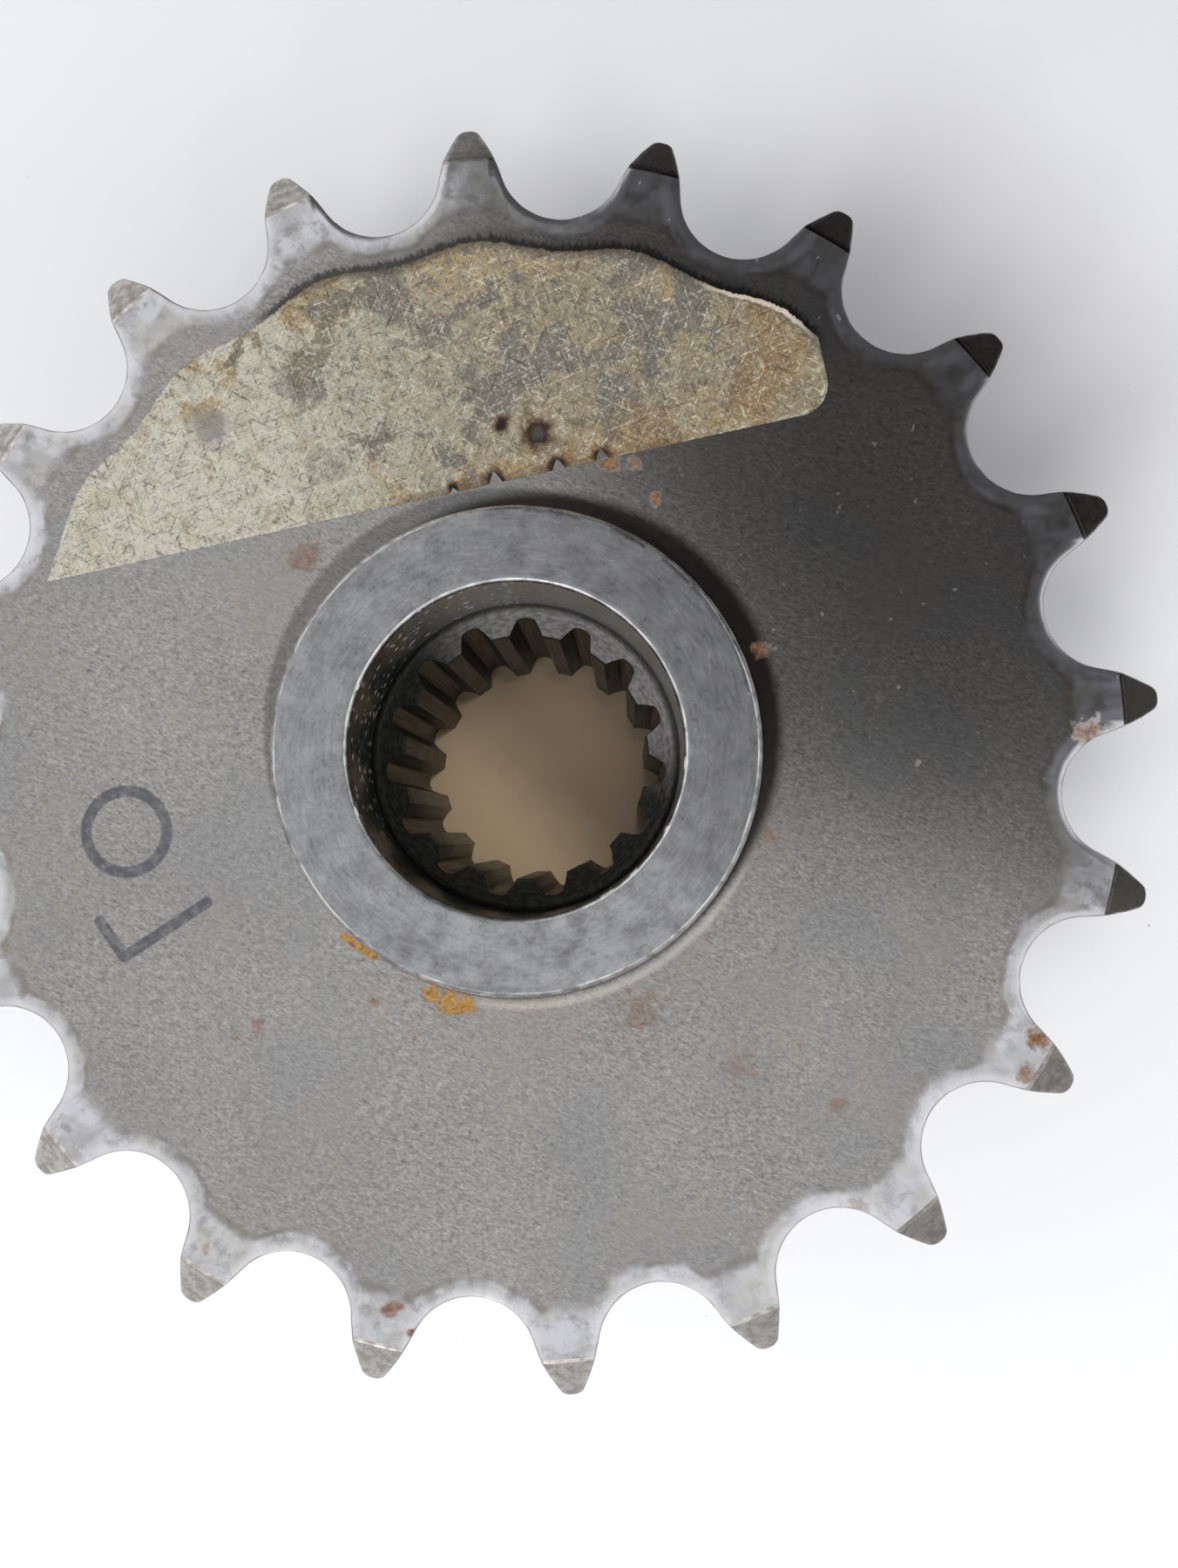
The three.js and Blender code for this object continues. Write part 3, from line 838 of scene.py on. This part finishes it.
def toothed_plate(materials):
    gaps, half_count, relief, land = plate_outline()
    middle = half_count - 1
    middle_z = (PLATE_FRONT + PLATE_REAR) / 2
    surface = Surface()

    # The edge break's width wanders a little, as a hand-dressed edge does.
    edges = []
    for gap in gaps:
        line = []
        for i, point in enumerate(gap):
            before = gap[max(i - 1, 0)]
            after = gap[min(i + 1, len(gap) - 1)]
            if i in (0, len(gap) - 1):
                out = point.normalized()
            else:
                along = (after - before).normalized()
                out = Vector((along.y, -along.x))
            width = 0.26 * (1 + 0.7 * noise.noise(Vector((point.x, point.y, 0)) * 0.45))
            line.append((point, out, width))
        edges.append(line)

    def at(point, out, inset, drop):
        inner = point - out * inset
        return Vector((inner.x, inner.y, PLATE_FRONT - face_fall(inner.length) - drop))

    for front in (True, False):
        flip = (lambda v: v) if front else (lambda v: Vector((v.x, v.y, 2 * middle_z - v.z)))
        face_rows = []
        for gap_number, line in enumerate(edges):
            rim = [flip(at(p, n, w, 0.0)) for p, n, w in line]
            half_break = [flip(at(p, n, 0.3 * w, 0.3 * w)) for p, n, w in line]
            wall_top = [flip(at(p, n, 0.0, w)) for p, n, w in line]
            surface.grid([rim, half_break, wall_top], slot=FLANK_SLOT)
            levels = 4
            rows = []
            for k in range(levels + 1):
                share = k / levels
                rows.append([v.lerp(Vector((v.x, v.y, middle_z)), share) for v in wall_top])
            surface.grid(rows, slot=FLANK_SLOT)

            # The tooth between this gap and the next: rows straight across the relief.
            following = edges[(gap_number + 1) % TOOTH_COUNT]
            next_rim = [flip(at(p, n, w, 0.0)) for p, n, w in following]
            cap = []
            for i in range(relief, land):
                left = rim[middle + i]
                right = next_rim[middle - i]
                start = atan2(left.y, left.x)
                sweep = (atan2(right.y, right.x) - start + pi) % (2 * pi) - pi
                radius = (left.xy.length + right.xy.length) / 2
                z = flip(Vector((0, 0, PLATE_FRONT - face_fall(radius)))).z
                row = [polar(radius, start + sweep * k / CROSS_STEPS, z) for k in range(CROSS_STEPS + 1)]
                row[0], row[-1] = left, right
                cap.append(row)
            tip_row = rim[middle + land :] + next_rim[1 : middle - land + 1]
            cap.append(tip_row)
            surface.grid(cap, slot=RELIEF_SLOT)

            # The flat face takes the seat, then the row where the relief starts.
            face_rows.extend(rim[middle - relief : middle + relief + 1])
            face_rows.extend(cap[0][1:-1])

        inner_ring = 103.0
        hole = BOSS_RADIUS + FIT_GAP
        hole_break = 0.3
        face_z = PLATE_FRONT if front else PLATE_REAR
        rows = []
        for share in steps(0, 1, 5):
            row = []
            for v in face_rows:
                bearing = atan2(v.y, v.x)
                radius = v.xy.length + (inner_ring - v.xy.length) * share
                row.append(v if share == 0 else polar(radius, bearing, face_z))
            rows.append(row)
        for radius in steps(inner_ring, hole + hole_break, 12)[1:]:
            rows.append([polar(radius, atan2(v.y, v.x), face_z) for v in face_rows])
        surface.grid(rows, slot=FACE_SLOT, closed=True)
        inside = 1 if front else -1
        wall = [rows[-1]]
        wall.append([polar(hole, atan2(v.y, v.x), face_z - inside * hole_break) for v in face_rows])
        wall.append([polar(hole, atan2(v.y, v.x), middle_z) for v in face_rows])
        surface.grid(wall, slot=FLANK_SLOT, closed=True)

    return surface.build("toothed_plate_finished", materials)


# ---- Hub ----

FACE, EDGE, BORE, BARREL, FLOOR, SPLINE = range(6)


def involute(angle):
    return tan(angle) - angle


def spline_bore():
    """(angle, radius) of the splined bore all the way round, in order."""
    pitch_radius = SPLINE_MODULE * SPLINE_TEETH / 2
    base = pitch_radius * cos(PRESSURE_ANGLE)
    quarter = pi / 2 / SPLINE_TEETH

    def half_width(radius):
        return quarter + involute(PRESSURE_ANGLE) - involute(acos(base / radius))

    rise = 0.9
    flank_top = SPLINE_MAJOR - rise
    width = half_width(flank_top)
    half = []
    for t in steps(0, pi / 2, 6)[:-1]:
        half.append((width * sin(t), flank_top + rise * cos(t)))
    for radius in steps(flank_top, SPLINE_MINOR + 0.25, 6):
        half.append((half_width(radius), radius))
    edge = half_width(SPLINE_MINOR)
    half.append((edge - 0.001, SPLINE_MINOR + 0.07))
    half.append((edge + 0.006, SPLINE_MINOR))
    for angle in steps(edge + 0.006, pi / SPLINE_TEETH, 3)[1:]:
        half.append((angle, SPLINE_MINOR))
    sector = [(-a, r) for a, r in reversed(half[1:-1])] + half
    phase = SPLINE_PHASE + pi / SPLINE_TEETH
    bore = []
    for i in range(SPLINE_TEETH):
        turn = phase + i * 2 * pi / SPLINE_TEETH
        bore.extend((turn + a, r) for a, r in sector)
    return bore


def splined_hub(materials):
    bore = spline_bore()
    angles = [a for a, _ in bore]
    surface = Surface()

    def ring(radius, z):
        return [polar(radius, a, z) for a in angles]

    def dented(radius, z, depth, size):
        """A ring whose radius wanders, as a knocked edge does."""
        row = []
        for a in angles:
            here = polar(radius, a)
            knock = noise.noise(here / size + Vector((3, 7, 1))) + max(0.0, noise.noise(here / 2.1) - 0.45)
            row.append(polar(radius + depth * knock, a, z))
        return row

    def bore_row(z, extra):
        """The splined bore at a height, with its teeth cut back by that much."""
        return [polar(max(r, SPLINE_MINOR + extra), a, z) for a, r in bore]

    def lay(slot, *rows):
        surface.grid(rows, slot=slot, closed=True)

    shoulder_z = PLATE_REAR - FIT_GAP
    barrel_inner = BARREL_RADIUS - BARREL_CHAMFER
    boss_inner = BOSS_RADIUS - BOSS_CHAMFER
    boss_break = HUB_FRONT - BOSS_CHAMFER
    # Outside, from the rear end face up to the shoulder and the boss.
    lay(
        BARREL,
        ring(barrel_inner - 0.2, HUB_END),
        ring(barrel_inner + 0.15, HUB_END + 0.2),
        ring(BARREL_RADIUS - 0.15, BARREL_CHAMFER - 0.15),
        ring(BARREL_RADIUS, BARREL_CHAMFER + 0.25),
    )
    lay(
        BARREL,
        *[ring(BARREL_RADIUS, z) for z in steps(BARREL_CHAMFER + 0.25, shoulder_z - 0.3, 12)],
        ring(BARREL_RADIUS - 0.3, shoulder_z),
        ring(BOSS_RADIUS, shoulder_z),
        *[ring(BOSS_RADIUS, z) for z in steps(shoulder_z, boss_break - 0.2, 8)[1:]],
    )
    boss_edge = dented(boss_inner, HUB_FRONT, -0.13, 6.0)
    lay(
        EDGE,
        ring(BOSS_RADIUS, boss_break - 0.2),
        dented(BOSS_RADIUS - 0.1, boss_break + 0.1, -0.04, 7.0),
        dented(boss_inner + 0.32, HUB_FRONT - 0.2, -0.13, 6.0),
        boss_edge,
    )
    mouth = COUNTERBORE_RADIUS + COUNTERBORE_CHAMFER
    mouth_edge = dented(mouth + 0.12, HUB_FRONT, 0.12, 5.0)
    wall_top = HUB_FRONT - COUNTERBORE_CHAMFER - 0.2
    lay(FACE, boss_edge, *[ring(r, HUB_FRONT) for r in steps(boss_inner - 0.9, mouth + 0.9, 6)], mouth_edge)
    lay(
        EDGE,
        mouth_edge,
        dented(mouth - 0.08, HUB_FRONT - 0.08, 0.10, 5.0),
        dented(COUNTERBORE_RADIUS + 0.08, HUB_FRONT - COUNTERBORE_CHAMFER + 0.06, 0.06, 6.0),
        ring(COUNTERBORE_RADIUS, wall_top),
    )
    # Counterbore wall, its round foot and the floor up to the spline.
    wall = [ring(COUNTERBORE_RADIUS, z) for z in steps(wall_top, SHOULDER + FLOOR_ROUND, 8)]
    lay(BORE, *wall)
    foot = [wall[-1]]
    for t in steps(0, pi / 2, 6)[1:]:
        inset = FLOOR_ROUND * (1 - cos(t))
        foot.append(ring(COUNTERBORE_RADIUS - inset, SHOULDER + FLOOR_ROUND * (1 - sin(t))))
    lay(FLOOR, *foot)
    floor_edge = COUNTERBORE_RADIUS - FLOOR_ROUND
    break_width = 0.15
    entry = [(a, max(r, SPLINE_MINOR + SPLINE_CHAMFER) + break_width) for a, r in bore]
    floor = [ring(floor_edge, SHOULDER)]
    for share in (0.35, 0.7, 1.0):
        floor.append([polar(floor_edge + (r - floor_edge) * share, a, SHOULDER) for a, r in entry])
    lay(FLOOR, *floor)
    # The spline, and the rear end face round it.
    spline_front = SHOULDER - break_width - SPLINE_CHAMFER
    rear_edge = bore_row(HUB_END, SPLINE_CHAMFER)
    lay(
        SPLINE,
        floor[-1],
        bore_row(SHOULDER - break_width, SPLINE_CHAMFER),
        *[bore_row(spline_front + extra, extra) for extra in (0.27, 0.13, 0.0)],
        *[bore_row(z, 0.0) for z in steps(spline_front, HUB_END + SPLINE_CHAMFER, 14)[1:]],
        rear_edge,
    )
    lay(FACE, rear_edge, *[ring(r, HUB_END) for r in steps(SPLINE_MAJOR + 1.2, barrel_inner - 0.2, 6)])
    return surface.build("splined_hub_finished", materials)


# ---- Weld ----


def weld_bead(materials):
    """A fillet weld laid in overlapping ripples, with a slightly uneven toe."""
    inner = BARREL_RADIUS + FIT_GAP
    top = PLATE_REAR - FIT_GAP
    leg = weld_high.x - inner
    around = 900
    across = 12
    ripple_pitch = 2.6
    ripples = round(2 * pi * BARREL_RADIUS / ripple_pitch)
    surface = Surface()
    rows = []
    for k in range(across + 1):
        t = k / across
        row = []
        for i in range(around):
            angle = 2 * pi * i / around
            here = polar(inner, angle)
            toe = 1 - 0.05 - 0.05 * noise.noise(here * 0.22 + Vector((5, 0, 0)))
            crescent = 0.9 * sin(pi * t) ** 1.2
            phase = (angle * ripples / (2 * pi) + crescent) % 1.0
            ridge = (1 - phase) ** 1.6 * sin(pi * t) ** 0.6
            bulge = 0.45 * sin(pi * t) + 0.30 * ridge + 0.1 * noise.noise(here * 0.4)
            bulge *= sin(pi * t) ** 0.5 if 0 < t < 1 else 0.0
            out = leg * toe * (1 - t) + bulge / sqrt(2)
            down = leg * toe * t + bulge / sqrt(2)
            row.append(polar(inner + out, angle, top - down))
        rows.append(row)
    corner = [polar(inner, 2 * pi * i / around, top) for i in range(around)]
    surface.grid([corner, *rows, corner], closed=True)
    return surface.build("weld_bead_finished", materials, sharp_angle=50 * DEG)


# ---- Paper label ----


def label_reach(along):
    """The label's lower and upper edge at a place along its straight edge."""
    low = LABEL_CHORD + 0.12 * noise.noise(Vector((along * 0.9, 2.0, 0)))
    past_round = along - (LABEL_END - LABEL_ROUND)
    if past_round > 0:
        low += LABEL_ROUND - sqrt(max(LABEL_ROUND**2 - past_round**2, 0.0))
    for place, width, depth in TEARS:
        low += depth * max(0.0, 1 - abs(along - place) / (width / 2)) ** 0.8
    angle = atan2(sqrt(LABEL_RADIUS**2 - along**2), along) + LABEL_SLOPE
    fuzz = 0.35 * noise.noise(Vector((along * 0.55, 9.0, 0))) + 0.3 * noise.noise(Vector((along * 2.6, 4.0, 0)))
    radius = LABEL_RADIUS + LABEL_SCALLOP * cos(TOOTH_COUNT * angle) + fuzz - LABEL_TRIM
    high = sqrt(radius**2 - along**2)
    return low, max(high, low + 0.05)


def paper_label(materials):
    bottom = label_low.z
    thickness = label_high.z - label_low.z
    left = -sqrt(LABEL_RADIUS**2 - LABEL_CHORD**2) + 0.4
    columns = 620
    across = 110
    surface = Surface()
    top_rows = []
    low_rows = []
    for k in range(across + 1):
        top_row = []
        low_row = []
        for i in range(columns + 1):
            # Columns crowd together towards the round end.
            share = sin(pi / 2 * i / columns)
            along = left + (LABEL_END - left) * (0.35 * share + 0.65 * i / columns)
            low, high = label_reach(along)
            away = low + (high - low) * k / across
            point = in_part_frame(along, away)
            edge = min(away - low, high - away, LABEL_END - along + 0.01)
            pulp = 0.5 + 0.5 * noise.fractal(point * 0.5, 0.8, 2.2, 4)
            full = thickness * (0.45 + 0.35 * pulp)
            rise = full * min(1.0, 0.3 + edge / 0.8)
            for x, y, size in BURNS:
                gone = max(0.0, 1 - hypot(along - x, away - y) / size)
                rise *= 1 - 0.85 * min(1.0, gone * 3)
            rise = min(max(rise, 0.012), thickness)
            top_row.append(Vector((point.x, point.y, bottom + rise)))
            low_row.append(Vector((point.x, point.y, bottom)))
        top_rows.append(top_row)
        low_rows.append(low_row)
    surface.grid(top_rows)
    surface.grid([low_rows[0], top_rows[0]])
    surface.grid([top_rows[-1], low_rows[-1]])
    surface.grid([[row[0] for row in top_rows], [row[0] for row in low_rows]])
    surface.grid([[row[-1] for row in low_rows], [row[-1] for row in top_rows]])
    surface.grid([low_rows[0], low_rows[across // 2], low_rows[-1]])
    return surface.build("paper_label_finished", materials, sharp_angle=80 * DEG)


# ---- Camera, light and floor ----

CAMERA_PLACE = Vector((21.16, -18.97, 391.5)) * MM
CAMERA_TURN = Vector((2.025, 1.591, -4.852)) * DEG
SENSOR_HEIGHT = 36.0
LENS = 34.08
TABLE_HALF_SIDE = 2500.0
BORE_LIGHT_PLACE = Vector((25.0, 35.0, 620.0)) * MM
BORE_LIGHT_TARGET = Vector((-7.0, -12.0, 0.0)) * MM
BORE_LIGHT_ANGLE = 9.0 * DEG
OVERHEAD_PLACE = Vector((-0.15, -0.25, 0.70))
OVERHEAD_SIDE = 2.9
# Lamps aimed at the hub: name, azimuth, elevation, distance, side and power.
LAMP_TARGET_HEIGHT = 0.07
LAMPS = [
    ("key_light", 232, 63, 1.6, 0.50, 11.5),
    ("fill_light", 335, 32, 1.6, 0.60, 3.5),
    ("rim_light", 250, 40, 1.6, 0.10, 1.2),
]


def add_camera():
    data = bpy.data.cameras.new("camera")
    data.sensor_fit = "VERTICAL"
    data.sensor_height = SENSOR_HEIGHT
    data.lens = LENS
    data.clip_start = 0.01
    camera = new_object("camera", data)
    camera.location = CAMERA_PLACE
    camera.rotation_euler = CAMERA_TURN
    bpy.context.scene.camera = camera


def aim(thing, place, target):
    thing.location = place
    thing.rotation_euler = (Vector(target) - Vector(place)).to_track_quat("-Z", "Y").to_euler()


def add_area_light(name, place, target, side, power):
    data = bpy.data.lights.new(name, "AREA")
    data.shape = "RECTANGLE"
    data.size = data.size_y = side
    data.energy = power
    light = new_object(name, data)
    aim(light, place, target)
    return light


def add_bore_light():
    """A narrow lamp that reaches the table through the bore."""
    data = bpy.data.lights.new("bore_light", "SPOT")
    data.energy = 3.7
    data.color = (1.0, 0.97, 0.92)
    data.spot_size = BORE_LIGHT_ANGLE
    data.spot_blend = 1.0
    data.shadow_soft_size = 0.01
    light = new_object("bore_light", data)
    aim(light, BORE_LIGHT_PLACE, BORE_LIGHT_TARGET)
    light.visible_glossy = False


def add_floor():
    surface = Surface()
    lines = steps(-TABLE_HALF_SIDE, TABLE_HALF_SIDE, 8)
    surface.grid([[Vector((x, y, HUB_END - 0.02)) for x in lines] for y in lines])
    floor = surface.build("table_top", [floor_material()])


def add_flags():
    """Black boards that keep light away from the +X +Y side: one under the overhead light and one upright."""
    height = 690.0
    corner = Vector((70.0, 5.0, height))
    near = [corner + polar(0.5, a * DEG) for a in (-21, 10, 43, 76, 108)]
    middle = [corner + polar(r, a * DEG) for r, a in ((290, -21), (340, 10), (420, 43), (460, 76), (480, 108))]
    far = [corner + polar(1300.0, a * DEG) for a in (44, 60, 75, 90, 105)]
    upright = [polar(1450.0, a * DEG) for a in steps(15, 100, 10)]
    surface = Surface()
    surface.grid([near, middle, far])
    surface.grid([upright, [v + Vector((0, 0, 500.0)) for v in upright]])
    paint = Paint("black_board", Roughness=0.9)
    paint.set("Base Color", (0.01, 0.01, 0.01))
    boards = surface.build("black_boards", [paint.material])
    boards.visible_camera = False


def add_lights():
    world = bpy.data.worlds.new("studio")
    world.use_nodes = True
    background = world.node_tree.nodes["Background"]
    background.inputs["Color"].default_value = (0.95, 0.96, 1.0, 1.0)
    background.inputs["Strength"].default_value = 0.47
    bpy.context.scene.world = world
    below = OVERHEAD_PLACE - Vector((0, 0, 1))
    add_area_light("overhead", OVERHEAD_PLACE, below, OVERHEAD_SIDE, 12.8)
    for name, azimuth, elevation, distance, side, power in LAMPS:
        flat = distance * cos(elevation * DEG)
        place = polar(flat, azimuth * DEG, LAMP_TARGET_HEIGHT + distance * sin(elevation * DEG))
        light = add_area_light(name, place, (0, 0, LAMP_TARGET_HEIGHT), side, power)
        light.visible_glossy = name == "rim_light"
    add_bore_light()
    add_flags()


# ---- Assembly ----

add_camera()
add_floor()
add_lights()
bpy.context.scene.view_settings.view_transform = "Standard"

plate_paints = [plate_face_material(), tip_cone_material(), tooth_flank_material()]
hub_paints = [
    turned_face_material("hub_turned_face", (0.395, 0.395, 0.405)),
    edge_material(),
    oiled_bore_material(),
    turned_face_material("hub_turned_barrel", (0.44, 0.44, 0.46)),
    bore_floor_material(),
    broached_material(),
]
pieces = [
    (toothed_plate(plate_paints), "toothed_plate", "plate_steel"),
    (splined_hub(hub_paints), "splined_hub", "hub_steel"),
    (weld_bead([weld_material()]), "weld_bead", "weld_steel"),
    (paper_label([label_material()]), "paper_label", "label_paper"),
]
for piece, node, slot in pieces:
    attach(piece, "root")
    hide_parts(node)
